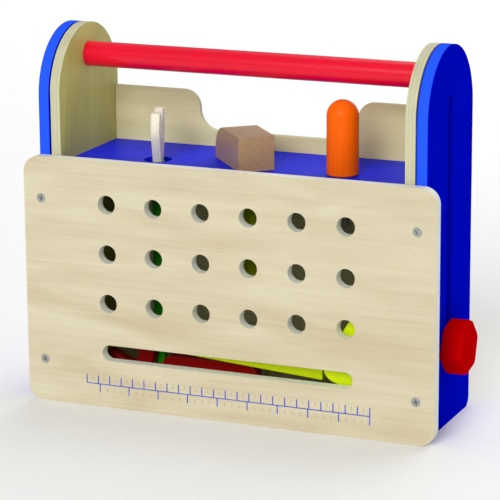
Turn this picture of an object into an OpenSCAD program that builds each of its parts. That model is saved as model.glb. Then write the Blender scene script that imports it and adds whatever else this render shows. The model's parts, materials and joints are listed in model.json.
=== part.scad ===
// Wooden tool box that turns into a small workbench.
// The outer frame is the bench board and two slotted sides. The inner box
// carries the tools, and two knobs on bolts clamp it in the sides' slots.
// X runs along the board, Y from the board to the back, Z up. The origin is
// on the ground, under the middle of the whole object.

/* [Bench board] */
// Length of the board
board_w = 344; // [336:1:356]
// Height of the board
board_h = 200; // [196:1:204]
// Thickness of the board
board_t = 9; // [8:0.5:10]
// Radius of the board's corners
board_corner_r = 13; // [8:1:20]
// Diameter of the peg holes
hole_d = 15; // [12:0.5:16]
// Distance between peg holes, both ways
hole_pitch = 40; // [38:0.5:42]
// Height of the lowest row of peg holes
hole_row_z = 85.5; // [80:0.5:88]
// Length of the long slot
board_slot_l = 212; // [190:1:230]
// Height of the long slot's opening
board_slot_h = 13; // [11:0.5:15]
// Height of the long slot's middle
board_slot_z = 45; // [40:0.5:50]

/* [Outer sides] */
// Thickness of an outer side
outer_t = 9; // [8:0.5:10]
// Depth of the sides, front to back
side_depth = 105; // [100:1:110]
// Height of the sides at the top of the arch
side_h = 298; // [290:1:310]
// Width of the clamping slot
guide_w = 11; // [10.5:0.5:13]
// How far the box can rise in the slots
lift = 190.5; // [170:0.5:191]
// Radius of the bottom corner at the back
heel_r = 8; // [2:1:12]

/* [Inner box] */
// Clear width inside the box
box_w = 287; // [280:1:287]
// Thickness of an inner side
inner_t = 8; // [7:0.5:8]
// Gap between an inner and an outer side
side_gap = 1; // [1:0.1:1.5]
// Thickness of the shelf and the floor
panel_t = 9; // [8:0.5:10]
// Thickness of the back panel
back_t = 4; // [3:0.5:6]
// Height of the box above the ground
box_z = 10.5; // [8:0.5:14]
// Height of the shelf's upper face
shelf_z = 194.5; // [190:0.5:196]
// Diameter of the tool holes in the shelf
shelf_hole_d = 22.5; // [21:0.5:24]
// Distance between the tool holes
shelf_hole_pitch = 78; // [70:1:84]
// Middle tool hole, to the right of the middle of the shelf
shelf_hole_mid_x = 1.5; // [0:0.5:3]
// Height of the back panel at its ends
back_high_z = 239.5; // [236:0.5:246]
// Height of the back panel in the middle
back_low_z = 207.5; // [205:0.5:212]
// Diameter of the handle dowel
dowel_d = 20; // [18:0.5:22]
// Height of the handle dowel's axis
dowel_z = 273; // [268:0.5:276]

/* [Clamps] */
// Height of the clamp bolts
bolt_z = 63; // [61:0.5:66]
// Diameter of the clamp bolts
bolt_d = 8; // [6:1:8]
// Knob size across its corners
knob_d = 43; // [38:1:46]
// Thickness of a knob
knob_t = 17; // [15:1:20]

/* [Tools] */
// Width of the hammer's head
hammer_w = 29; // [26:1:32]
// Height of the hammer's head
hammer_h = 27.5; // [22:0.5:30]
// How far the hammer is turned in its hole
hammer_turn = 40.5; // [30:0.5:48]
// Diameter of the orange screwdriver's handle
orange_d = 25; // [24.5:0.5:28]
// Length of the orange screwdriver's handle
orange_l = 58.5; // [50:0.5:60]
// Diameter of the screwdriver's wooden blade
blade_d = 11; // [9:0.5:12]
// Thickness of the green spanner's jaw
jaw_t = 7; // [5:0.5:7.5]
// Width of the green spanner's jaw
jaw_w = 38; // [34:1:40]
// Width of the opening in the green spanner's jaw
jaw_gap = 13; // [10:1:14]

/* [Hidden] */
$fn = 72;

blue = [0.10, 0.14, 0.80];
red = [0.78, 0.05, 0.08];
ply = [0.90, 0.85, 0.72];
pine = [0.78, 0.70, 0.48];
steel = [0.72, 0.73, 0.75];
brass = [0.80, 0.65, 0.30];
beech = [0.66, 0.47, 0.32];
lime = [0.72, 0.84, 0.12];
green = [0.20, 0.68, 0.10];
orange = [0.98, 0.42, 0.08];

// Faces across the depth
front_y = -(board_t + side_depth) / 2;
board_back_y = front_y + board_t;
back_y = -front_y;
mid_y = board_back_y + side_depth / 2;
panel_y = back_y - back_t;                 // front of the back panel
box_clear = 0.5;                          // box front to board
box_front_y = board_back_y + box_clear;

// Faces along the width
box_x = box_w / 2;
inner_x = box_x + inner_t;
outer_x = inner_x + side_gap;
face_x = outer_x + outer_t;

arch_r = side_depth / 2;
arch_z = side_h - arch_r;
floor_z = box_z + panel_t;
guide_play = (guide_w - bolt_d) / 2;
knob_clear = 0.3;                         // knob to side
knob_x = face_x + knob_clear;
bore_play = 0.05;                         // turning fit on a bolt
eps = 0.01;

// Wood screws
screw_head_r = 3.75;
screw_head_h = 2.6;
screw_shank_r = 2;
screw_tip_l = 5;
screw_sink = 0.3;
recess_w = 1;
recess_l = 4.4;
recess_h = 1.7;
board_screw_l = 35;
board_screw_z = [34.5, 166.5];
side_screw_l = 30;
handle_screw_l = 40;
rabbet_w = 3;                             // of the inner sides' thickness, for the back panel
edge_screw_y = [-30, 25];                 // into the shelf and the floor

shelf_hole_y = -10;
hammer_front = 19.5;                      // handle axis to striking face
hammer_back = 42.3;
peen_r = 21;
peen_y = 22;
hammer_handle_r = 7.5;
hammer_handle_l = 105;
hammer_socket = 18;
rest_clear = 0.2;                         // loose tools above what holds them

blade_socket = 22;
orange_blade_l = 75;
tip_l = 26;
tip_half = 1.1;

spanner_y = -33;
spanner_t = 10;
green_turn = 18.5;
green_t = 8.4;
green_w = 19.6;
green_top_z = 192.5;                       // where the paint ends and the bare jaw begins
neck_taper = 25;                          // lean of the neck's edges, which run into the round head
jaw_z = 222;
jaw_top_z = 234;
jaw_root_z = 212;                         // bottom of the jaw's opening
tang = [12, 20, 4.4];                     // width, length and thickness
saw_y = -45;
saw_handle_t = 12;
saw_blade_t = 5;

// ---------------------------------------------------------------- helpers

// A flat outline in Y and Z, made thick along X from x0.
module side_plate(x0, t) {
    translate([x0, 0, 0]) rotate([90, 0, 90]) linear_extrude(t) children();
}

// A flat outline in X and Z, made thick along Y from y0.
module front_plate(y0, t) {
    translate([0, y0 + t, 0]) rotate([90, 0, 0]) linear_extrude(t) children();
}

// A straight piece with two round ends, from p to q.
module bar_2d(p, q, r) {
    d = q - p;
    for (c = [p, q]) translate(c) circle(r);
    translate(p) rotate(atan2(d[1], d[0])) translate([0, -r]) square([norm(d), 2 * r]);
}

// The sides' outline: an upright with a half-round top.
module arch_2d(bottom_z) {
    translate([mid_y - arch_r, bottom_z]) square([side_depth, arch_z - bottom_z]);
    translate([mid_y, arch_z]) circle(arch_r);
}

// A countersunk wood screw: head face at the origin, point towards +Z.
module screw_body(l) {
    cylinder(h = screw_head_h, r1 = screw_head_r, r2 = screw_shank_r);
    translate([0, 0, screw_head_h - eps])
        cylinder(h = l - screw_head_h - screw_tip_l + 2 * eps, r = screw_shank_r);
    translate([0, 0, l - screw_tip_l]) cylinder(h = screw_tip_l, r1 = screw_shank_r, r2 = 0.3);
}
module wood_screw(l) {
    difference() {
        screw_body(l);
        for (a = [45, 135]) rotate(a)
            translate([-recess_l / 2, -recess_w / 2, -eps]) cube([recess_l, recess_w, recess_h]);
    }
}
// The hole that a screw leaves, open above its sunk head.
module screw_hole(l) {
    screw_body(l);
    translate([0, 0, -screw_sink - eps]) cylinder(h = screw_sink + 2 * eps, r = screw_head_r);
}

// Puts its children where each group of screws goes.
module at_board_screws() {
    for (x = [-1, 1], z = board_screw_z)
        translate([x * (outer_x + outer_t / 2), front_y + screw_sink, z]) rotate([-90, 0, 0])
            children();
}
module at_side(side, y, z) {
    translate([side * (inner_x - screw_sink), y, z]) rotate([0, -90 * side, 0]) children();
}
module at_box_screws() {
    for (side = [-1, 1], y = edge_screw_y, z = [box_z + panel_t / 2, shelf_z - panel_t / 2])
        at_side(side, y, z) children();
}
module at_handle_screws() {
    for (side = [-1, 1]) at_side(side, mid_y, dowel_z) children();
}
module at_tool_hole(i) {
    translate([shelf_hole_mid_x + i * shelf_hole_pitch, shelf_hole_y, shelf_z]) children();
}
// Along +X from the bolt's axis, on the right or the left.
module at_bolt(side) {
    translate([0, mid_y, bolt_z]) mirror([side < 0 ? 1 : 0, 0, 0]) rotate([0, 90, 0]) children();
}

// ------------------------------------------------------------ outer frame

module peg_holes_2d() {
    for (i = [-2.5:1:2.5], j = [0:2])
        translate([i * hole_pitch, hole_row_z + j * hole_pitch]) circle(d = hole_d);
}

module front_board() color(ply) {
    r = board_corner_r;
    slot_r = board_slot_h / 2;
    slot_x = board_slot_l / 2 - slot_r;
    difference() {
        front_plate(front_y, board_t) difference() {
            union() {
                translate([-board_w / 2 + r, 0]) square([board_w - 2 * r, board_h]);
                translate([-board_w / 2, r]) square([board_w, board_h - 2 * r]);
                for (x = [-1, 1], z = [r, board_h - r])
                    translate([x * (board_w / 2 - r), z]) circle(r);
            }
            peg_holes_2d();
            bar_2d([-slot_x, board_slot_z], [slot_x, board_slot_z], slot_r);
        }
        at_board_screws() screw_hole(board_screw_l);
    }
}

module outer_side(side) color(blue) {
    low_z = bolt_z - bolt_d / 2 - guide_play + guide_w / 2;
    difference() {
        side_plate(side > 0 ? outer_x : -outer_x - outer_t, outer_t) difference() {
            arch_2d(0);
            difference() {
                translate([back_y - heel_r, 0]) square(heel_r);
                translate([back_y - heel_r, heel_r]) circle(heel_r);
            }
            bar_2d([mid_y, low_z], [mid_y, low_z + lift], guide_w / 2);
        }
        at_board_screws() screw_hole(board_screw_l);
    }
}
module left_outer_side() outer_side(-1);
module right_outer_side() outer_side(1);

module board_screws() color(steel) at_board_screws() wood_screw(board_screw_l);

// -------------------------------------------------------------- inner box

// The step in a side's rear edge that the back panel is glued into.
module back_rabbet(side) {
    translate([side > 0 ? box_x - 1 : -box_x - rabbet_w, panel_y, box_z - 1])
        cube([rabbet_w + 1, back_t + 1, back_high_z - box_z + 1]);
}

module inner_side(side) color(pine) {
    difference() {
        side_plate(side > 0 ? box_x : -inner_x, inner_t) intersection() {
            arch_2d(box_z);
            translate([box_front_y, 0]) square([side_depth, side_h]);
        }
        at_bolt(side) bolt_body();
        back_rabbet(side);
        at_box_screws() screw_hole(side_screw_l);
        at_handle_screws() screw_hole(handle_screw_l);
    }
}
module left_inner_side() inner_side(-1);
module right_inner_side() inner_side(1);

// The back is high at both ends and steps down in a soft S to the middle.
function arc(c, r, a0, a1, n = 15) =
    [for (i = [0:n]) c + r * [cos(a0 + (a1 - a0) * i / n), sin(a0 + (a1 - a0) * i / n)]];
function mirrored(points) = [for (i = [len(points) - 1:-1:0]) [-points[i][0], points[i][1]]];

module back_panel() color(pine) {
    foot_r = 17;
    head_r = 14;
    step_x = 68;
    right_half = concat(
        arc([step_x - foot_r, back_low_z + foot_r], foot_r, -90, 0),
        arc([step_x + head_r, back_high_z - head_r], head_r, 180, 90),
        [[box_x + rabbet_w, back_high_z], [box_x + rabbet_w, box_z]]
    );
    front_plate(panel_y, back_t) polygon(concat(right_half, mirrored(right_half)));
}

module box_panel(top_z) {
    difference() {
        translate([-box_x, box_front_y, top_z - panel_t])
            cube([box_w, panel_y - box_front_y, panel_t]);
        at_box_screws() screw_hole(side_screw_l);
    }
}

module shelf() color(blue) difference() {
    box_panel(shelf_z);
    for (i = [-1:1]) at_tool_hole(i)
        translate([0, 0, -panel_t - 1]) cylinder(h = panel_t + 2, d = shelf_hole_d);
}

module box_floor() color(pine) box_panel(floor_z);

module handle_dowel() color(red) difference() {
    translate([-box_x, mid_y, dowel_z]) rotate([0, 90, 0]) cylinder(h = box_w, d = dowel_d);
    at_handle_screws() screw_hole(handle_screw_l);
}

module handle_screws() color(steel) at_handle_screws() wood_screw(handle_screw_l);

module box_screws() color(steel) at_box_screws() wood_screw(side_screw_l);

// ----------------------------------------------------------------- clamps

// A carriage bolt along +Z: round head inside the box, square neck in the wood.
bolt_head_r = 9;
bolt_head_h = 4.5;
bolt_neck_l = 4;
bolt_end = knob_x + 12;
module bolt_body() {
    dome_r = (bolt_head_r * bolt_head_r + bolt_head_h * bolt_head_h) / (2 * bolt_head_h);
    intersection() {
        translate([0, 0, box_x + dome_r - bolt_head_h]) sphere(dome_r);
        translate([0, 0, box_x - bolt_head_h]) cylinder(h = bolt_head_h, r = bolt_head_r + 1);
    }
    translate([-bolt_d / 2, -bolt_d / 2, box_x - 1]) cube([bolt_d, bolt_d, bolt_neck_l + 1]);
    translate([0, 0, box_x - 1]) cylinder(h = bolt_end - box_x + 1, d = bolt_d);
}
module clamp_bolts() color(steel) for (side = [-1, 1]) at_bolt(side) bolt_body();

// A thin washer keeps each inner side off the outer one.
module gap_washers() color(steel) for (side = [-1, 1]) at_bolt(side) difference() {
    translate([0, 0, inner_x]) cylinder(h = side_gap - rest_clear, d = 20);
    translate([0, 0, inner_x - 1]) cylinder(h = side_gap + 2, d = bolt_d + 0.4);
}

insert_r = 6;
insert_l = 13;
crown_r = 22.2;                           // ball that trims the knob's corners at both ends
knob_turn = 17.6;                         // as the knobs were last tightened
module knob(side) color(red) at_bolt(side) difference() {
    intersection() {
        translate([0, 0, knob_x]) rotate(-knob_turn) cylinder(h = knob_t, d = knob_d, $fn = 6);
        translate([0, 0, knob_x + knob_t / 2]) sphere(crown_r);
    }
    translate([0, 0, knob_x - 1]) cylinder(h = insert_l + 1, r = insert_r);
}
module knob_insert(side) color(brass) at_bolt(side) difference() {
    translate([0, 0, knob_x]) cylinder(h = insert_l, r = insert_r);
    translate([0, 0, knob_x - 1]) cylinder(h = insert_l + 2, r = bolt_d / 2 + bore_play);
}
module left_knob() knob(-1);
module left_knob_insert() knob_insert(-1);
module right_knob() knob(1);
module right_knob_insert() knob_insert(1);

// ------------------------------------------------------------------ tools

module at_hammer() {
    at_tool_hole(0) translate([0, 0, rest_clear]) rotate(hammer_turn) children();
}

module hammer_handle_body() {
    r = hammer_handle_r;
    translate([0, 0, r - hammer_handle_l]) {
        cylinder(h = hammer_handle_l - r + hammer_socket, r = r);
        sphere(r);
    }
}

// A block with a square striking face and a back that is rounded off on top.
module hammer_head() color(beech) at_hammer() difference() {
    side_plate(-hammer_w / 2, hammer_w) {
        translate([-hammer_front, 0]) square([hammer_front + peen_y, hammer_h]);
        intersection() {
            translate([peen_y - eps, 0]) square([hammer_back - peen_y + eps, hammer_h]);
            translate([peen_y, hammer_h - peen_r]) circle(peen_r);
        }
    }
    hammer_handle_body();
}
module hammer_handle() color(lime) at_hammer() hammer_handle_body();

// A round wooden blade along +Z whose last part is cut to a flat edge.
module driver_blade(l) {
    slope = atan((blade_d / 2 - tip_half) / tip_l);
    difference() {
        cylinder(h = l, d = blade_d);
        for (side = [0, 1]) mirror([0, side, 0])
            translate([-blade_d, tip_half, l]) rotate([slope, 0, 0])
                translate([0, 0, -tip_l * 1.2]) cube([2 * blade_d, blade_d, 2 * tip_l]);
    }
}

// A straight handle with a half-round end towards +Z.
module driver_handle(d, l) {
    cylinder(h = l - d / 2, d = d);
    translate([0, 0, l - d / 2]) sphere(d = d);
}

// The orange screwdriver stands on the shelf with its blade in the hole.
module orange_blade_at() {
    at_tool_hole(1) translate([0, 0, rest_clear + blade_socket]) mirror([0, 0, 1])
        rotate(25) driver_blade(orange_blade_l + blade_socket);
}
module orange_driver_handle() color(orange) difference() {
    at_tool_hole(1) translate([0, 0, rest_clear]) driver_handle(orange_d, orange_l);
    orange_blade_at();
}
module orange_driver_blade() color(pine) orange_blade_at();

// The green spanner stands upright on the floor, its handle through the left hole
// and its bare jaw above the shelf. Its outlines are drawn about the hole's axis.
module green_plate(t) {
    at_tool_hole(-1) rotate(green_turn + 90) translate([0, t / 2, -shelf_z])
        rotate([90, 0, 0]) linear_extrude(t) children();
}
module green_tang() {
    green_plate(tang[2]) translate([-tang[0] / 2, green_top_z - tang[1]]) square([tang[0], tang[1] + 5]);
}
module green_spanner_handle() color(green) difference() {
    r = green_w / 2;
    low_z = floor_z + rest_clear + r;
    green_plate(green_t) union() {
        translate([0, low_z]) circle(r);
        translate([-r, low_z]) square([green_w, green_top_z - low_z]);
    }
    green_tang();
}
function green_head_points() =
    let (r = jaw_w / 2, drop = jaw_z - green_top_z,
         foot = (r - drop * sin(neck_taper)) / cos(neck_taper))
    concat([[-foot, green_top_z], [foot, green_top_z]],
           arc([0, jaw_z], r, -neck_taper, 180 + neck_taper, 30));
module green_spanner_jaw() color(ply) {
    green_plate(jaw_t) difference() {
        intersection() {
            polygon(green_head_points());
            translate([-jaw_w, green_top_z]) square([2 * jaw_w, jaw_top_z - green_top_z]);
        }
        bar_2d([0, jaw_root_z + jaw_gap / 2], [0, jaw_top_z + jaw_gap], jaw_gap / 2);
    }
    green_tang();
}

// An open spanner standing on its edge on the floor of the box.
module red_spanner() color(red) front_plate(spanner_y, spanner_t) difference() {
    head = [-93, floor_z + 20];
    union() {
        translate(head) circle(20);
        translate([head[0], floor_z + 2]) square([40, 10]);
        bar_2d([-55, floor_z + 11], [6, floor_z + 11], 11);
    }
    bar_2d(head, head + [-30, 14], 7);
}

// A saw standing behind the board's slot: a tapered blade and a slanted grip.
module saw_blade_2d() {
    polygon([[-62, 50], [-58, 47.5], [75, 38], [75, 54], [90, 58], [90, 72], [-58, 62], [-62, 59]]);
}
module saw_blade() color(lime)
    front_plate(saw_y + (saw_handle_t - saw_blade_t) / 2, saw_blade_t) saw_blade_2d();
// Three round corners joined by straight edges, with a finger notch at the low front.
function saw_handle_points() =
    let (toe = [90, 51], top = [118, 95], heel = [104, floor_z + 14], lean = 57.5)
    concat(
        arc(top, 13, lean - 90, lean + 90),
        arc(toe, 13, lean + 90, lean + 200),
        arc(heel, 14, 165, 360)
    );
module saw_handle() color(lime) difference() {
    front_plate(saw_y, saw_handle_t) polygon(saw_handle_points());
    front_plate(saw_y + (saw_handle_t - saw_blade_t) / 2, saw_blade_t) saw_blade_2d();
}

front_board();
left_outer_side();
right_outer_side();
board_screws();
left_inner_side();
right_inner_side();
back_panel();
shelf();
box_floor();
handle_dowel();
handle_screws();
box_screws();
clamp_bolts();
gap_washers();
left_knob();
left_knob_insert();
right_knob();
right_knob_insert();
hammer_head();
hammer_handle();
orange_driver_handle();
orange_driver_blade();
green_spanner_handle();
green_spanner_jaw();
red_spanner();
saw_blade();
saw_handle();
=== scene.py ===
# %% [markdown]
# # A wooden tool box that turns into a workbench
#
# The frame of this toy comes ready made: every board, dowel, bolt and tool is there at its real
# size. What is left is what a paint shop and a joiner do last. Edges are eased, round parts are
# turned smooth, screws get their heads, the ruler is printed, and each surface gets its finish.
#
# %% Load the frame
import json
import math

import bmesh
import bpy
from mathutils import Euler, Matrix, Vector


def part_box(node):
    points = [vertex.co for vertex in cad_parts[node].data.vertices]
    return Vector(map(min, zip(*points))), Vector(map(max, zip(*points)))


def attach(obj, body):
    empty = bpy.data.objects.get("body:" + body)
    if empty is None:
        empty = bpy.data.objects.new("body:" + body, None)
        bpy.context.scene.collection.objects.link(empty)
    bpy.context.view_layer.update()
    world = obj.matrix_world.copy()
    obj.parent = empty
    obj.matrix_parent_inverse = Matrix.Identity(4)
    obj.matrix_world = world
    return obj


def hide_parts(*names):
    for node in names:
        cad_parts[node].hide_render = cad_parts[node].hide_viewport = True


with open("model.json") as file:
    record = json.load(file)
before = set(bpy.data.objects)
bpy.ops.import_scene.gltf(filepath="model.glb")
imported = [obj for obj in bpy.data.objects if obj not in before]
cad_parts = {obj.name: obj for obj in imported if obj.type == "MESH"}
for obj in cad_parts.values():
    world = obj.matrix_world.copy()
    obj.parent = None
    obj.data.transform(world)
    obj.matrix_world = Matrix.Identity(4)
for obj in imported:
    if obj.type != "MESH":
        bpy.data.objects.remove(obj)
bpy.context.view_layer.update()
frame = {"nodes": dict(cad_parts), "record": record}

MM = 0.001
record = frame["record"]
BODY_OF = {node: body for body, members in record["behaviour"]["bodies"].items() for node in members}

# %% [markdown]
# ## The camera
#
# A long lens from two metres away keeps the box's upright edges nearly parallel. The camera stands
# a little to the right and looks down a little, so that the front, the right side and the shelf all
# show.
#
# %% Camera
VIEW_RIGHT = math.radians(23.09)
VIEW_DOWN = math.radians(14.08)
VIEW_ROLL = math.radians(-0.39)
VIEW_DISTANCE = 2.019
VIEW_TARGET = Vector((-0.0025, 0.0, 0.125))
LENS_MM, SENSOR_MM = 184.07, 36.0


def aim_camera():
    lens = bpy.data.cameras.new("camera")
    lens.lens, lens.sensor_width = LENS_MM, SENSOR_MM
    lens.clip_start, lens.clip_end = 0.1, 20.0
    camera = bpy.data.objects.new("camera", lens)
    bpy.context.scene.collection.objects.link(camera)
    away = Vector((math.sin(VIEW_RIGHT) * math.cos(VIEW_DOWN),
                   -math.cos(VIEW_RIGHT) * math.cos(VIEW_DOWN),
                   math.sin(VIEW_DOWN)))
    camera.location = VIEW_TARGET + away * VIEW_DISTANCE
    camera.rotation_euler = Euler((math.pi / 2 - VIEW_DOWN, 0, VIEW_RIGHT), "XYZ")
    camera.rotation_euler.rotate(Matrix.Rotation(VIEW_ROLL, 3, away))
    bpy.context.scene.camera = camera


aim_camera()
print("camera:", round(VIEW_DISTANCE, 3), "m away,", LENS_MM, "mm lens")

# %% [markdown]
# ## Writing node trees as arithmetic
#
# A finish is a small formula: a colour plus some grain, minus some wear. Wiring it by hand hides
# the formula, so two small classes write the nodes. `Wire` is one output socket, and sums and
# products on it add Math nodes. `Graph` adds any other node, for shaders and geometry alike.
#
# %% Wires and graphs
class Wire:
    def __init__(self, graph, socket):
        self.graph, self.socket = graph, socket

    def _math(self, operation, first, second):
        return self.graph.node("ShaderNodeMath", {"operation": operation}, [first, second])

    def __add__(self, other):
        return self._math("ADD", self, other)

    def __sub__(self, other):
        return self._math("SUBTRACT", self, other)

    def __rsub__(self, other):
        return self._math("SUBTRACT", other, self)

    def __mul__(self, other):
        return self._math("MULTIPLY", self, other)

    def __truediv__(self, other):
        return self._math("DIVIDE", self, other)

    def __mod__(self, other):
        return self._math("FLOORED_MODULO", self, other)

    def above(self, other):
        return self._math("GREATER_THAN", self, other)

    __radd__, __rmul__ = __add__, __mul__


class Graph:
    def __init__(self, tree):
        self.tree = tree

    def feed(self, socket, value):
        if isinstance(value, Wire):
            self.tree.links.new(value.socket, socket)
        else:
            socket.default_value = value

    def node(self, kind, settings=None, values=(), output=0):
        made = self.tree.nodes.new(kind)
        for name, setting in (settings or {}).items():
            if name == "stops":
                self._ramp(made.color_ramp, setting)
            else:
                setattr(made, name, setting)
        pairs = values.items() if isinstance(values, dict) else enumerate(values)
        for key, value in pairs:
            for part in value if isinstance(value, list) else [value]:
                self.feed(made.inputs[key], part)
        return Wire(self, made.outputs[output])

    @staticmethod
    def _ramp(ramp, stops):
        while len(ramp.elements) < len(stops):
            ramp.elements.new(1.0)
        for element, (place, colour) in zip(ramp.elements, stops):
            element.position, element.color = place, (*colour, 1.0)

    def blend(self, mask, first, second):
        """A colour that goes from first to second as mask goes from 0 to 1."""
        keys = {"Factor": mask, "A_Color": first, "B_Color": second}
        made = self.tree.nodes.new("ShaderNodeMix")
        made.data_type = "RGBA"
        for key, value in keys.items():
            socket = next(s for s in made.inputs if s.identifier in (key, key + "_Float"))
            value = (*value, 1.0) if isinstance(value, tuple) and len(value) == 3 else value
            self.feed(socket, value)
        return Wire(self, next(s for s in made.outputs if s.identifier == "Result_Color"))


def srgb(red, green, blue):
    """A colour picked on a 0 to 255 scale, as the linear values that shaders use."""
    def linear(channel):
        c = channel / 255
        return c / 12.92 if c <= 0.04045 else ((c + 0.055) / 1.055) ** 2.4
    return linear(red), linear(green), linear(blue)


class Finish(Graph):
    """A material with one Principled shader, its tree written through Graph."""

    def __init__(self, name, **constants):
        self.material = bpy.data.materials.new(name)
        self.material.use_nodes = True
        super().__init__(self.material.node_tree)
        self.shader = next(n for n in self.tree.nodes if n.type == "BSDF_PRINCIPLED")
        for socket, value in constants.items():
            self.shader.inputs[socket.replace("_", " ")].default_value = value
        self.place = self.node("ShaderNodeTexCoord", output="Object")

    def set(self, **wires):
        for socket, wire in wires.items():
            self.feed(self.shader.inputs[socket.replace("_", " ")], wire)

    def noise(self, size, detail=3.0, stretch=(1, 1, 1), distortion=0.0, seed=0.0):
        """Noise whose blobs are about size metres across, longer along an axis by its stretch."""
        scale = tuple(1 / (size * s) for s in stretch)
        moved = self.node("ShaderNodeMapping", {}, {"Vector": self.place, "Scale": scale,
                                                    "Location": (seed, seed * 0.7, seed * 1.3)})
        return self.node("ShaderNodeTexNoise", {}, {"Vector": moved, "Scale": 1.0, "Detail": detail,
                                                    "Distortion": distortion})

    def bump(self, height, depth):
        """Relief of the given depth in metres, for a height that runs from 0 to 1."""
        return self.node("ShaderNodeBump", {}, {"Strength": 1.0, "Distance": depth, "Height": height})

    def squeezed(self, wire, low, high):
        """0 below low, 1 above high, straight in between."""
        return self.node("ShaderNodeMapRange", {"clamp": True},
                         {"Value": wire, "From Min": low, "From Max": high})


print("helpers: Wire, Graph, Finish")

# %% [markdown]
# ## Bare plywood
#
# The bench board, the box's sides and its back are pale plywood under a thin clear lacquer. Three
# things make plywood look real: fine fibres that run one way, broad soft bands where the veneer
# was peeled, and plies that show only on cut edges. Depth through the board tells a face from a cut
# edge: anything deeper than a thin skin takes the edge's colours, striped by the plies.
#
# %% Plywood
AXES = {"X": 0, "Y": 1, "Z": 2}
PLY, FACE_SKIN = 1.5 * MM, 0.12 * MM


def along(axis, length, across=1.0):
    """Stretch factors that draw a pattern out along one axis."""
    return tuple(length if i == AXES[axis] else across for i in range(3))


def between(wire, low, high):
    """1 where a wire lies between two values, 0 outside."""
    return wire.above(low) * (1.0 - wire.above(high))


def plywood(name, node, grain, through, face, edge, seed=0.0, shine=0.42):
    """face and edge are (pale, dark) pairs; the plies run through the board along one axis."""
    low, high = (corner[AXES[through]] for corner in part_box(node))
    wood = Finish(name, Specular_IOR_Level=0.2)
    fibres = wood.noise(0.9 * MM, 4, along(grain, 45), seed=seed)
    streaks = wood.noise(3.5 * MM, 3, along(grain, 40), distortion=0.4, seed=seed + 3)
    bands = wood.noise(26 * MM, 2, along(grain, 6), distortion=1.2, seed=seed + 7)
    pores = wood.squeezed(wood.noise(0.55 * MM, 2, along(grain, 9), seed=seed + 11), 0.66, 0.74)
    depth = wood.node("ShaderNodeSeparateXYZ", {}, [wood.place], output=through)
    core = between(depth, low + FACE_SKIN, high - FACE_SKIN)
    layer = (((depth - low) / (2 * PLY)) % 1.0).above(0.5)
    figure = fibres * 0.26 + streaks * 0.30 + bands * 0.76 - 0.30
    tone = wood.squeezed(figure, 0.12, 0.62)
    colour = wood.blend(core, wood.blend(tone, *face), wood.blend(tone, *edge))
    colour = wood.blend(pores * 0.28, colour, tuple(c * 0.55 for c in face[1]))
    colour = wood.blend(core * layer * 0.25, colour, tuple(c * 0.70 for c in edge[1]))
    relief = fibres * 0.5 + streaks * 0.5 - pores * 0.8
    wood.set(Base_Color=colour, Roughness=shine + fibres * 0.12,
             Normal=wood.bump(relief, 0.05 * MM))
    return wood.material


BOARD_PLY = (srgb(214, 207, 178), srgb(194, 178, 146))
# The bench board's cut edges, the peg holes' walls among them, get a near-white copy of the edge colour,
# paler than the other boards' edges: painted light on the holes' walls.
LIT_BOARD_EDGE = (srgb(246, 248, 236), srgb(232, 232, 214))
SIDE_PLY = (srgb(208, 206, 120), srgb(188, 184, 100))
BACK_PLY = (srgb(228, 223, 170), srgb(212, 204, 148))
PLY_EDGE = (srgb(206, 203, 172), srgb(190, 186, 152))
PLY_FINISH = {
    "front_board": plywood("board_ply", "front_board", "X", "Y", BOARD_PLY, LIT_BOARD_EDGE),
    "left_inner_side": plywood("left_side_ply", "left_inner_side", "Z", "X", SIDE_PLY, PLY_EDGE,
                               seed=2.0),
    "right_inner_side": plywood("right_side_ply", "right_inner_side", "Z", "X", SIDE_PLY, PLY_EDGE,
                                seed=4.0),
    "back_panel": plywood("back_ply", "back_panel", "X", "Y", BACK_PLY, PLY_EDGE, seed=6.0),
    "box_floor": plywood("floor_ply", "box_floor", "X", "Z", BACK_PLY, PLY_EDGE, seed=8.0),
}
print("plywood:", len(PLY_FINISH), "pieces")

# %% [markdown]
# ## Paint on wood
#
# Toy paint is sprayed thick and dries glossy, but the wood still shows through it as faint relief:
# long shallow grain, and a fine pebbling of the paint itself. The colour varies a little where the
# coat is thicker, and the shine varies with it. A paler blue round the blue sides' outlines is a
# painted sheen where their eased edges catch the light. One function makes every painted finish.
#
# %% Paint
# Painted sheen lies in a thin rim round a blue side's outline, kept out of its slot.
SLOT_HALF, SLOT_TOP_INSET, SHEEN_RIM = 14 * MM, 25 * MM, 0.5 * MM


def painted(name, colour, grain="Z", shine=0.30, gloss=0.2, seed=0.0, shade=0.86, sheen_edge=None):
    """The last argument is a node and a colour: that colour is painted round the board's outline as a
    painted sheen, for light caught by its eased edges.
    """
    paint = Finish(name, Specular_IOR_Level=gloss)
    grain_lines = paint.noise(1.6 * MM, 3, along(grain, 22), distortion=0.3, seed=seed)
    pebbles = paint.noise(1.1 * MM, 2, seed=seed + 5)
    patches = paint.noise(30 * MM, 2, seed=seed + 9)
    thin = paint.squeezed(patches * 0.6 + grain_lines * 0.4, 0.34, 0.70)
    coat = paint.blend(thin, colour, tuple(c * shade for c in colour))
    # Painted sheen: a paler colour round the board's outline stands in for light on its eased edges.
    if sheen_edge:
        low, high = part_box(sheen_edge[0])
        x, y, z = (paint.node("ShaderNodeSeparateXYZ", {}, [paint.place], output=i) for i in range(3))
        middle, slot_top = (low.y + high.y) / 2, high.z - SLOT_TOP_INSET
        in_slot = between(y, middle - SLOT_HALF, middle + SLOT_HALF) * (1.0 - z.above(slot_top))
        rim = between(x, low.x + SHEEN_RIM, high.x - SHEEN_RIM) * (1.0 - in_slot)
        coat = paint.blend(rim, coat, sheen_edge[1])
    paint.set(Base_Color=coat,
              Roughness=shine + patches * 0.10 + grain_lines * 0.06,
              Normal=paint.bump(grain_lines * 0.7 + pebbles * 0.3, 0.07 * MM))
    return paint.material


# The second blue is a painted sheen for the blue sides' eased outlines, where they catch the light.
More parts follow.
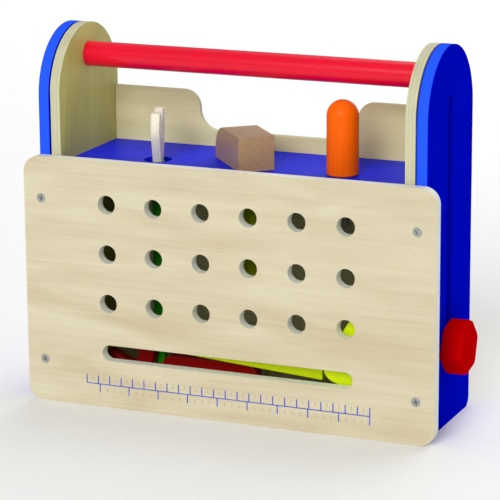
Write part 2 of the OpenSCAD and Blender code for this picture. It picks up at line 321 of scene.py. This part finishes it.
BLUE, SHEEN_BLUE = srgb(1, 10, 208), srgb(40, 88, 244)
blue_side_paint = {side: painted("blue_" + side, BLUE, shine=0.4, gloss=0.0, seed=1.0 + i,
                                 sheen_edge=(side, SHEEN_BLUE))
                   for i, side in enumerate(("left_outer_side", "right_outer_side"))}
blue_shelf_paint = painted("blue_shelf_paint", srgb(14, 30, 226), grain="X", gloss=0.04, seed=2.5)
red_dowel_paint = painted("red_dowel_paint", srgb(234, 0, 44), grain="X", shine=0.20, gloss=0.34,
                          seed=3.0)
red_knob_paint = painted("red_knob_paint", srgb(205, 0, 4), grain="X", gloss=0.0, seed=4.0)
red_spanner_paint = painted("red_spanner_paint", srgb(150, 12, 8), grain="X", gloss=0.1, seed=5.0)
orange_paint = painted("orange_paint", srgb(255, 102, 0), gloss=0.1, seed=6.0)
green_paint = painted("green_paint", srgb(44, 190, 14), gloss=0.1, seed=7.0)
lime_paint = painted("lime_paint", srgb(216, 238, 10), grain="X", gloss=0.1, seed=8.0)
print("paint: eight colours from one function")

# %% [markdown]
# ## Beech and bare dowel
#
# The hammer's head is brown hardwood. Its mark is many short dark flecks along the grain, and rings
# that curve across the end faces. The screwdriver's blade and the green spanner's jaw are bare pale
# wood, sanded and dry.
#
# %% Solid woods
def hardwood(name, pale, dark, fleck, grain, ring=4 * MM, shine=0.46, seed=0.0):
    wood = Finish(name)
    fibres = wood.noise(0.7 * MM, 4, along(grain, 26), seed=seed)
    flecks = wood.squeezed(wood.noise(0.8 * MM, 1, along(grain, 7), seed=seed + 5), 0.62, 0.70)
    wander = wood.noise(24 * MM, 2, along(grain, 3), seed=seed + 9)
    x, y, z = (wood.node("ShaderNodeSeparateXYZ", {}, [wood.place], output=i) for i in range(3))
    tilt = {"X": y + z * 0.6, "Y": x + z * 0.6, "Z": x + y * 0.6}[grain]
    rings = wood.node("ShaderNodeMath", {"operation": "PINGPONG"}, [tilt / ring + wander * 2.2, 1.0])
    tone = wood.squeezed(rings * 0.16 + fibres * 0.5 + wander * 0.5, 0.35, 0.75)
    colour = wood.blend(tone, pale, dark)
    colour = wood.blend(flecks * 0.55, colour, fleck)
    wood.set(Base_Color=colour, Roughness=shine + fibres * 0.15,
             Normal=wood.bump(fibres * 0.7 - flecks * 0.7, 0.06 * MM))
    return wood.material


beech = hardwood("brown_beech", srgb(180, 146, 106), srgb(166, 131, 92), srgb(116, 82, 56), "Y",
                 ring=2.5 * MM, shine=0.26)
bare_dowel = hardwood("bare_dowel", srgb(242, 236, 218), srgb(232, 222, 198), srgb(190, 172, 140),
                      "Z", ring=3 * MM, seed=3.0)
print("solid woods: beech, bare dowel")

# %% [markdown]
# ## Metal and ink
#
# Zinc plating is bright with a soft mottled haze. Brass is the same idea in yellow. The ruler's ink
# is dull and slightly broken where the wood's fibres lift it.
#
# %% Metals and inks
def plated(name, colour, shine=0.30, seed=0.0):
    metal = Finish(name, Metallic=1.0)
    haze = metal.noise(0.8 * MM, 3, seed=seed)
    scratches = metal.noise(0.25 * MM, 2, (1, 1, 14), seed=seed + 4)
    metal.set(Base_Color=metal.blend(haze, colour, tuple(c * 0.82 for c in colour)),
              Roughness=shine + haze * 0.18,
              Normal=metal.bump(scratches, 0.012 * MM))
    return metal.material


def ink(name, colour, faded):
    print_ink = Finish(name)
    fibres = print_ink.noise(0.7 * MM, 3, along("X", 12))
    worn = print_ink.squeezed(fibres, 0.50, 0.66)
    print_ink.set(Base_Color=print_ink.blend(worn * 0.5, colour, faded), Roughness=0.55 + fibres * 0.1)
    return print_ink.material


zinc = plated("zinc_plate", srgb(184, 186, 182), shine=0.22)
brass = plated("brass", srgb(212, 178, 96), seed=3.0)
ruler_ink = ink("ruler_ink", srgb(58, 70, 186), srgb(126, 134, 206))
ruler_faint_ink = ink("ruler_faint_ink", srgb(176, 158, 136), srgb(214, 200, 170))
print("metals and inks ready")

# %% [markdown]
# ## Taking a piece over from the frame
#
# A piece that stands for one of the frame's nodes rides on that node's body, and the node is hidden.
# Most boards only need their corners broken: real edges are sanded to a small round, and that round
# is what catches the light. A merged copy of the node gets a Bevel modifier for it.
#
# %% Standing for a node
def link(name, mesh):
    piece = bpy.data.objects.new(name, mesh)
    bpy.context.scene.collection.objects.link(piece)
    return piece


def stand_for(piece, node, finish):
    piece.data.materials.clear()
    piece.data.materials.append(finish)
    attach(piece, BODY_OF[node])
    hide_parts(node)


def smooth(piece, sharp_above=32):
    piece.data.shade_smooth()
    piece.data.set_sharp_from_angle(angle=math.radians(sharp_above))


WELD_DISTANCE = 2e-6


def tidy_mesh(mesh, flat_within=0.4):
    """Joins loose triangles and melts the seams inside flat faces."""
    work = bmesh.new()
    work.from_mesh(mesh)
    bmesh.ops.remove_doubles(work, verts=work.verts, dist=WELD_DISTANCE)
    bmesh.ops.dissolve_limit(work, angle_limit=math.radians(flat_within), verts=work.verts,
                             edges=work.edges)
    work.to_mesh(mesh)
    work.free()


def ease_edges(piece, width, segments=3):
    round_over = piece.modifiers.new("eased_edges", "BEVEL")
    round_over.width, round_over.segments = width, segments
    round_over.limit_method, round_over.angle_limit = "ANGLE", math.radians(38)
    round_over.face_strength_mode = "FSTR_ALL"
    even = piece.modifiers.new("even_shading", "WEIGHTED_NORMAL")
    even.keep_sharp, even.use_face_influence = True, True
    smooth(piece)


def eased_copy(node, finish, width, segments=3):
    mesh = frame["nodes"][node].data.copy()
    tidy_mesh(mesh)
    piece = link("eased_" + node, mesh)
    stand_for(piece, node, finish)
    ease_edges(piece, width, segments)


# %% [markdown]
# ## Sides, back, shelf and floor
#
# The outer sides are painted blue and have softly rounded edges, also along the slot. The inner
# sides and the back have a smaller round. The shelf and the floor have nearly sharp edges.
#
# %% Boards of the box
for side, finish in blue_side_paint.items():
    eased_copy(side, finish, 1.1 * MM, 4)
for side in ("left_inner_side", "right_inner_side"):
    eased_copy(side, PLY_FINISH[side], 0.8 * MM)
eased_copy("back_panel", PLY_FINISH["back_panel"], 0.8 * MM)
eased_copy("box_floor", PLY_FINISH["box_floor"], 0.4 * MM, 2)
eased_copy("shelf", blue_shelf_paint, 0.5 * MM, 2)
print("boards: seven eased copies")

# %% [markdown]
# ## The bench board, drilled on a grid
#
# The board follows a rule, so a geometry tree cuts it: a rounded rectangle, a grid of circles for
# the pegs, four small ones for the screws and one long slot, filled between and pulled out to the
# board's thickness. Its sizes are named inputs, so another board is another set of numbers.
#
# %% Tree helpers
def geometry_tree(name, inputs, on_points=False):
    """A geometry node group with one input for each name, and its Graph and input wires."""
    kinds = {int: "NodeSocketInt", float: "NodeSocketFloat", bpy.types.Material: "NodeSocketMaterial",
             bpy.types.Object: "NodeSocketObject"}
    tree = bpy.data.node_groups.new(name, "GeometryNodeTree")
    tree.interface.new_socket("Geometry", in_out="OUTPUT", socket_type="NodeSocketGeometry")
    if on_points:
        tree.interface.new_socket("Points", in_out="INPUT", socket_type="NodeSocketGeometry")
    for label, value in inputs.items():
        tree.interface.new_socket(label, in_out="INPUT", socket_type=kinds[type(value)])
    graph = Graph(tree)
    entry = tree.nodes.new("NodeGroupInput")
    labels = [socket.name for socket in tree.interface.items_tree if socket.in_out == "INPUT"]
    wires = {label: Wire(graph, entry.outputs[label]) for label in labels}
    return graph, wires


def close_tree(graph, shape, finish):
    """Ends a tree as the export needs it: nothing instanced, and a material set."""
    real = graph.node("GeometryNodeRealizeInstances", {}, [shape])
    done = graph.node("GeometryNodeSetMaterial", {}, {"Geometry": real, "Material": finish})
    graph.feed(graph.tree.nodes.new("NodeGroupOutput").inputs[0], done)


def grow(tree, name, inputs, seed_mesh=None):
    """Runs a tree once and keeps its result as a plain mesh."""
    holder = link(name + "_seed", seed_mesh or bpy.data.meshes.new(name + "_seed"))
    modifier = holder.modifiers.new("tree", "NODES")
    modifier.node_group = tree
    sockets = {s.name: s.identifier for s in tree.interface.items_tree if s.in_out == "INPUT"}
    for label, value in inputs.items():
        modifier[sockets[label]] = value
    evaluated = holder.evaluated_get(bpy.context.evaluated_depsgraph_get())
    mesh = bpy.data.meshes.new_from_object(evaluated)
    holder.modifiers.remove(modifier)
    bpy.data.objects.remove(holder)
    mesh.name = name
    return link(name, mesh)


def combine(graph, x=0.0, y=0.0, z=0.0):
    return graph.node("ShaderNodeCombineXYZ", {}, [x, y, z])


# %% The board's tree
board_low, board_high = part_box("front_board")
screw_low, screw_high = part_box("board_screws")
SCREW_HEAD_R = 3.75 * MM
screw_x = screw_high.x - SCREW_HEAD_R
screw_z = (screw_low.z + SCREW_HEAD_R, screw_high.z - SCREW_HEAD_R)
board_size = board_high - board_low
peg_mount = next(m for m in record["mounts"] if m["name"] == "peg_holes_outer")
PEG_PITCH = 40 * MM
board_sizes = {
    "Width": board_size.x, "Height": board_size.z, "Thickness": board_size.y,
    "Corner radius": 13 * MM,
    "Peg hole radius": peg_mount["dims"]["hole_r_mm"] * MM,
    "Peg pitch": PEG_PITCH, "Peg columns": 6, "Peg rows": 3,
    "Peg middle": peg_mount["pos_m"][2] - board_size.z / 2,
    "Slot length": 212 * MM, "Slot height": 13 * MM, "Slot middle": 45 * MM - board_size.z / 2,
    "Screw hole radius": SCREW_HEAD_R,
    "Screw span": 2 * screw_x, "Screw rise": screw_z[1] - screw_z[0],
    "Screw middle": (screw_z[0] + screw_z[1]) / 2 - board_size.z / 2,
    "Finish": PLY_FINISH["front_board"],
}


def rounded_rectangle(graph, width, height, radius, steps=14):
    outline = graph.node("GeometryNodeCurvePrimitiveQuadrilateral", {},
                         {"Width": width, "Height": height})
    return graph.node("GeometryNodeFilletCurve", {"mode": "POLY"},
                      {"Curve": outline, "Count": steps, "Radius": radius, "Limit Radius": True})


def grid_of_holes(graph, columns, rows, width, height, middle, radius, steps=48):
    grid = graph.node("GeometryNodeMeshGrid", {}, {"Size X": width, "Size Y": height,
                                                   "Vertices X": columns, "Vertices Y": rows})
    grid = graph.node("GeometryNodeTransform", {}, {"Geometry": grid,
                                                    "Translation": combine(graph, y=middle)})
    circle = graph.node("GeometryNodeCurvePrimitiveCircle", {},
                        {"Resolution": steps, "Radius": radius})
    return graph.node("GeometryNodeInstanceOnPoints", {}, {"Points": grid, "Instance": circle})


def drilled_board_tree():
    graph, size = geometry_tree("drilled_board", board_sizes)
    outline = rounded_rectangle(graph, size["Width"], size["Height"], size["Corner radius"])
    pegs = grid_of_holes(graph, size["Peg columns"], size["Peg rows"],
                         size["Peg pitch"] * (size["Peg columns"] - 1),
                         size["Peg pitch"] * (size["Peg rows"] - 1),
                         size["Peg middle"], size["Peg hole radius"])
    screws = grid_of_holes(graph, 2, 2, size["Screw span"], size["Screw rise"],
                           size["Screw middle"], size["Screw hole radius"], 32)
    slot = rounded_rectangle(graph, size["Slot length"], size["Slot height"],
                             size["Slot height"] * 0.4999)
    slot = graph.node("GeometryNodeTransform", {}, {"Geometry": slot,
                                                    "Translation": combine(graph, y=size["Slot middle"])})
    curves = graph.node("GeometryNodeJoinGeometry", {}, [[screws, slot, pegs, outline]])
    curves = graph.node("GeometryNodeRealizeInstances", {}, [curves])
    face = graph.node("GeometryNodeFillCurve", {"mode": "TRIANGLES"}, [curves])
    front = graph.node("GeometryNodeExtrudeMesh", {"mode": "FACES"},
                       {"Mesh": face, "Offset": (0, 0, 1), "Offset Scale": size["Thickness"],
                        "Individual": False})
    rear = graph.node("GeometryNodeFlipFaces", {}, [face])
    solid = graph.node("GeometryNodeJoinGeometry", {}, [[rear, front]])
    solid = graph.node("GeometryNodeMergeByDistance", {}, {"Geometry": solid, "Distance": 1e-6})
    close_tree(graph, solid, size["Finish"])
    return graph.tree


STAND_UP = Matrix.Rotation(math.pi / 2, 4, "X")


def outward(mesh):
    work = bmesh.new()
    work.from_mesh(mesh)
    bmesh.ops.recalc_face_normals(work, faces=work.faces)
    work.to_mesh(mesh)
    work.free()


bench_board = grow(drilled_board_tree(), "bench_board", board_sizes)
bench_board.data.transform(Matrix.Translation((0, board_high.y, board_size.z / 2)) @ STAND_UP)
outward(bench_board.data)
stand_for(bench_board, "front_board", PLY_FINISH["front_board"])
ease_edges(bench_board, 0.9 * MM)
print("bench board:", len(bench_board.data.vertices), "points before its edges are eased")

# %% [markdown]
# ## The printed ruler
#
# One baseline, centimetres above it and inches below it, counted from the right. Between the long
# ticks stand small faint ones. A row of ticks is a line of points with a thin bar on each, so the
# tree is one function called for each row. The ink stands a twentieth of a millimetre proud of the
# board: enough to be there, too little to see from the side.
#
# %% Ruler
ruler_sizes = {
    "Length": 240 * MM, "Baseline": 18.7 * MM, "Ink height": 0.05 * MM,
    "Line width": 0.8 * MM, "Tick width": 0.95 * MM, "Tick length": 7.0 * MM,
    "Small tick width": 0.65 * MM, "Small tick start": 3.2 * MM, "Small tick length": 3.0 * MM,
    "Centimetre": 10 * MM, "Inch": 25.4 * MM, "Finish": ruler_ink,
}


def tick_row(graph, size, count, first_x, step, low, length, width):
    """Upright bars in the XY plane from low to low + length, one every step along X."""
    middle = low + length / 2
    line = graph.node("GeometryNodeMeshLine", {}, {"Count": count,
                                                   "Start Location": combine(graph, first_x, middle),
                                                   "Offset": combine(graph, step)})
    bar = graph.node("GeometryNodeMeshCube", {}, {"Size": combine(graph, width, length,
                                                                  size["Ink height"] * 2)})
    return graph.node("GeometryNodeInstanceOnPoints", {}, {"Points": line, "Instance": bar})


def ruler_tree(faint):
    graph, size = geometry_tree("ruler_faint" if faint else "ruler", ruler_sizes)
    half = size["Length"] / 2
    if faint:
        width, start, length = (size["Small tick " + k] for k in ("width", "start", "length"))
        cm, inch = size["Centimetre"], size["Inch"]
        rows = [tick_row(graph, size, 24, cm / 2 - half, cm, start, length, width)]
        rows += [tick_row(graph, size, 9, half - inch * (k + 4) / 4, inch * -1.0,
                          0.0 - start - length, length, width) for k in (-3, -2, -1)]
    else:
        width, length = size["Tick width"], size["Tick length"]
        line = graph.node("GeometryNodeMeshCube", {}, {
            "Size": combine(graph, size["Length"], size["Line width"], size["Ink height"] * 2)})
        rows = [line,
                tick_row(graph, size, 25, 0.0 - half, size["Centimetre"], 0.0, length, width),
                tick_row(graph, size, 10, half, size["Inch"] * -1.0, 0.0 - length, length, width)]
    close_tree(graph, graph.node("GeometryNodeJoinGeometry", {}, [rows]), size["Finish"])
    return graph.tree


def print_ruler(name, faint, finish):
    lines = grow(ruler_tree(faint), name, ruler_sizes | {"Finish": finish})
    lines.data.transform(Matrix.Translation((0, board_low.y, ruler_sizes["Baseline"])) @ STAND_UP)
    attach(lines, BODY_OF["front_board"])
    print(name, len(lines.data.polygons), "faces")


print_ruler("ruler_lines", False, ruler_ink)
print_ruler("ruler_half_marks", True, ruler_faint_ink)

# %% [markdown]
# ## Turned parts
#
# The carrying dowel, the tool handles and the screws all come off a lathe. An outline of radius and
# height is spun round Z into a closed skin: a point on the axis closes an end. The domes are arcs
# with enough points to stay round.
#
# %% Lathe
ON_AXIS = 1e-7


def arc(radius, centre_z, start, stop, steps=12, centre_r=0.0):
    """Points of a round stretch: angles in degrees from the outward direction towards +Z."""
    angles = [math.radians(start + (stop - start) * i / steps) for i in range(steps + 1)]
    return [(centre_r + radius * math.cos(a), centre_z + radius * math.sin(a)) for a in angles]


def turned(name, outline, around=72):
    """A closed solid of revolution about Z. outline goes up from its low end to its high end."""
    work = bmesh.new()
    rings = []
    for radius, height in outline:
        if radius < ON_AXIS:
            rings.append([work.verts.new((0, 0, height))])
            continue
        turn = [2 * math.pi * i / around for i in range(around)]
        rings.append([work.verts.new((radius * math.cos(a), radius * math.sin(a), height))
                      for a in turn])
    for low, high in zip(rings, rings[1:]):
        for i in range(around):
            j = (i + 1) % around
            corners = [low[i % len(low)], low[j % len(low)],
                       high[j % len(high)], high[i % len(high)]]
            work.faces.new(list(dict.fromkeys(corners)))
    bmesh.ops.recalc_face_normals(work, faces=work.faces)
    mesh = bpy.data.meshes.new(name)
    work.to_mesh(mesh)
    work.free()
    piece = link(name, mesh)
    smooth(piece)
    return piece


def rod_outline(radius, low, high, low_round, high_round):
    """A straight rod whose ends are rounded by the given radii, up to a full dome."""
    foot = [(0.0, low)] + arc(low_round, low + low_round, -90, 0, centre_r=radius - low_round)
    head = arc(high_round, high - high_round, 0, 90, centre_r=radius - high_round) + [(0.0, high)]
    if radius - low_round < ON_AXIS:
        foot = foot[1:]
    if radius - high_round < ON_AXIS:
        head = head[:-1]
    return foot + head


# %% Carrying dowel and tool handles
dowel_low, dowel_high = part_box("handle_dowel")
dowel_r = (dowel_high.z - dowel_low.z) / 2
dowel_ends = 0.6 * MM
dowel = turned("carrying_dowel",
               rod_outline(dowel_r, dowel_low.x, dowel_high.x, dowel_ends, dowel_ends), 96)
dowel.data.transform(Matrix.Translation((0, (dowel_low.y + dowel_high.y) / 2, dowel_low.z + dowel_r))
                     @ Matrix.Rotation(math.pi / 2, 4, "Y"))
stand_for(dowel, "handle_dowel", red_dowel_paint)


def upright_rod(name, node, finish, low_round=None, high_round=None):
    """A rod that fills a node's box. A round left out is a full dome."""
    low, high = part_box(node)
    radius = (high.x - low.x) / 2
    rod = turned(name, rod_outline(radius, low.z, high.z, low_round or radius, high_round or radius))
    rod.data.transform(Matrix.Translation(((low.x + high.x) / 2, (low.y + high.y) / 2, 0)))
    stand_for(rod, node, finish)


upright_rod("orange_handle", "orange_driver_handle", orange_paint, low_round=1.4 * MM)
upright_rod("hammer_handle_rod", "hammer_handle", lime_paint, high_round=0.8 * MM)
print("turned parts: dowel and two handles")

# %% [markdown]
# ## Knobs, tools and small metal
#
# What has flats is kept as the frame has it and only gets its edges rounded: the hexagonal knobs,
# the hammer's head, the screwdriver's blade, both spanners, the saw and the small metal.
#
# %% Shaped pieces
SHAPED = [
    ("left_knob", red_knob_paint, 1.3, 4), ("right_knob", red_knob_paint, 1.3, 4),
    ("hammer_head", beech, 0.7, 3), ("orange_driver_blade", bare_dowel, 0.35, 2),
    ("green_spanner_jaw", bare_dowel, 0.8, 3), ("green_spanner_handle", green_paint, 1.4, 3),
    ("red_spanner", red_spanner_paint, 1.2, 3),
    ("saw_blade", lime_paint, 0.7, 3), ("saw_handle", lime_paint, 1.8, 4),
    ("clamp_bolts", zinc, 0.25, 2), ("gap_washers", zinc, 0.1, 1),
    ("left_knob_insert", brass, 0.2, 2), ("right_knob_insert", brass, 0.2, 2),
]
for node, finish, round_mm, segments in SHAPED:
    eased_copy(node, finish, round_mm * MM, segments)
print("shaped pieces done")

# %% [markdown]
# ## Screws
#
# All the screws are one screw, instanced. It is turned, its cross recess is cut with a Boolean, and
# a geometry tree puts it on points. Each point carries the direction that its screw is driven in,
# and a seeded random turn keeps the crosses from lining up, as no screwdriver stops twice alike.
#
# %% One screw
HEAD_H, HEAD_RIM, SHANK_R, TIP_L = 2.6 * MM, 0.25 * MM, 2.0 * MM, 5.0 * MM
RECESS_L, RECESS_W, RECESS_DEPTH, RECESS_TAPER = 4.8 * MM, 1.4 * MM, 1.7 * MM, 0.62


def cut(piece, tool):
    carve = piece.modifiers.new("cut", "BOOLEAN")
    carve.object, carve.operation, carve.solver = tool, "DIFFERENCE", "EXACT"
    evaluated = piece.evaluated_get(bpy.context.evaluated_depsgraph_get())
    mesh = bpy.data.meshes.new_from_object(evaluated)
    piece.modifiers.clear()
    piece.data = mesh
    bpy.data.objects.remove(tool)


def screw_pattern(length):
    """A countersunk screw along +Z with its head's face at the origin."""
    outline = [(0.0, 0.0), (SCREW_HEAD_R - HEAD_RIM, 0.0)]
    outline += arc(HEAD_RIM, HEAD_RIM, -90, 45, 4, centre_r=SCREW_HEAD_R - HEAD_RIM)
    outline += [(SHANK_R, HEAD_H), (SHANK_R, length - TIP_L), (0.0, length)]
    screw = turned("screw_pattern", outline, 32)
    for angle in (0, math.pi / 2):
        work = bmesh.new()
        bmesh.ops.create_cube(work, size=1.0)
        for corner in work.verts:
            taper = RECESS_TAPER if corner.co.z > 0 else 1.0
            corner.co = (corner.co.x * RECESS_L * taper, corner.co.y * RECESS_W * taper,
                         corner.co.z * 2 * RECESS_DEPTH)
        work.transform(Matrix.Rotation(angle, 4, "Z"))
        mesh = bpy.data.meshes.new("recess")
        work.to_mesh(mesh)
        work.free()
        cut(screw, link("recess", mesh))
    smooth(screw)
    return screw


# %% The screws' tree
def screws_tree(inputs):
    graph, given = geometry_tree("screws", inputs, on_points=True)
    driven = graph.node("GeometryNodeInputNamedAttribute", {"data_type": "FLOAT_VECTOR"},
                        {"Name": "driven"})
    facing = graph.node("FunctionNodeAlignRotationToVector", {"axis": "Z"}, {"Vector": driven})
    pattern = graph.node("GeometryNodeObjectInfo", {}, {"Object": given["Screw"]}, output="Geometry")
    placed = graph.node("GeometryNodeInstanceOnPoints", {}, {"Points": given["Points"],
                                                             "Instance": pattern, "Rotation": facing})
    spin = graph.tree.nodes.new("FunctionNodeRandomValue")
    spin.data_type = "FLOAT"
    spin.inputs[3].default_value = math.pi / 2
    graph.feed(spin.inputs["Seed"], given["Seed"])
    turn = combine(graph, z=Wire(graph, spin.outputs[1]))
    placed = graph.node("GeometryNodeRotateInstances", {}, {"Instances": placed, "Rotation": turn,
                                                            "Local Space": True})
    close_tree(graph, placed, given["Finish"])
    return graph.tree


def drive_screws(name, node, length, places, seed):
    """places holds (point, direction) pairs, the point at the middle of a screw's head."""
    pattern = screw_pattern(length)
    inputs = {"Screw": pattern, "Seed": seed, "Finish": zinc}
    points = bpy.data.meshes.new(name + "_points")
    points.from_pydata([p for p, _ in places], [], [])
    driven = points.attributes.new("driven", "FLOAT_VECTOR", "POINT")
    for i, (_, direction) in enumerate(places):
        driven.data[i].vector = direction
    screws = grow(screws_tree(inputs), name, inputs, points)
    bpy.data.objects.remove(pattern)
    stand_for(screws, node, zinc)
    smooth(screws)
    print(name, len(places), "screws")


# %% Where the screws go
board_places = [((x, screw_low.y, z), (0, 1, 0)) for x in (-screw_x, screw_x) for z in screw_z]
drive_screws("bench_board_screws", "board_screws", screw_high.y - screw_low.y, board_places, 4)

EDGE_SCREW_Y = (-30 * MM, 25 * MM)
SIDE_SCREW_L, DOWEL_SCREW_L = 30 * MM, 40 * MM
_, edge_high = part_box("box_screws")
floor_low, floor_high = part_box("box_floor")
shelf_low, shelf_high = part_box("shelf")
edge_z = ((floor_low.z + floor_high.z) / 2, (shelf_low.z + shelf_high.z) / 2)
side_places = [((side * edge_high.x, y, z), (-side, 0, 0))
               for side in (-1, 1) for y in EDGE_SCREW_Y for z in edge_z]
drive_screws("box_side_screws", "box_screws", SIDE_SCREW_L, side_places, 7)

grip_low, grip_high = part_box("handle_screws")
grip_places = [((side * grip_high.x, (grip_low.y + grip_high.y) / 2, (grip_low.z + grip_high.z) / 2),
                (-side, 0, 0)) for side in (-1, 1)]
drive_screws("dowel_screws", "handle_screws", DOWEL_SCREW_L, grip_places, 11)

# %% [markdown]
# ## Floor and light
#
# The floor is a wide pale sheet. A wide soft sun stands in front, so the board reads bright and the
# right side stays deep blue. A second one from behind and above brightens the floor and the top
# faces. A large panel far behind adds a little more from the back, and a white sky fills the rest.
#
# %% Studio
def studio_floor():
    finish = Finish("studio_floor", Roughness=0.85)
    speckle = finish.noise(0.05, 2)
    finish.set(Base_Color=finish.blend(speckle, (0.93, 0.93, 0.93), (0.90, 0.90, 0.90)))
    work = bmesh.new()
    bmesh.ops.create_grid(work, x_segments=1, y_segments=1, size=6.0)
    mesh = bpy.data.meshes.new("studio_floor")
    work.to_mesh(mesh)
    work.free()
    sheet = link("studio_floor", mesh)
    mesh.materials.append(finish.material)


def soft_light(name, place, target, size, watts):
    lamp = bpy.data.lights.new(name, "AREA")
    lamp.shape, lamp.size, lamp.energy = "SQUARE", size, watts
    light = bpy.data.objects.new(name, lamp)
    light.location = place
    light.rotation_euler = (Vector(target) - Vector(place)).to_track_quat("-Z", "Y").to_euler()
    bpy.context.scene.collection.objects.link(light)


def soft_sun(name, right, up, spread, strength):
    """A very wide sun: it lights the whole floor evenly and its shadows stay soft."""
    lamp = bpy.data.lights.new(name, "SUN")
    lamp.energy, lamp.angle = strength, math.radians(spread)
    sun = bpy.data.objects.new(name, lamp)
    sun.rotation_euler = (math.radians(90 - up), 0, math.radians(right))
    bpy.context.scene.collection.objects.link(sun)


def white_sky(strength):
    world = bpy.data.worlds.new("white_sky")
    world.use_nodes = True
    sky = next(n for n in world.node_tree.nodes if n.type == "BACKGROUND")
    sky.inputs["Color"].default_value = (1, 1, 1, 1)
    sky.inputs["Strength"].default_value = strength
    bpy.context.scene.world = world


studio_floor()
white_sky(strength=0.36)
soft_sun("key", right=4, up=28, spread=32, strength=2.05)
soft_sun("back", right=170, up=58, spread=50, strength=1.12)
soft_light("backdrop", place=(0, 2.8, 1.0), target=(0, 0, 0.2), size=1.8, watts=15)
bpy.context.scene.view_settings.view_transform = "Standard"
print("studio: floor, sky, two suns and a back panel")
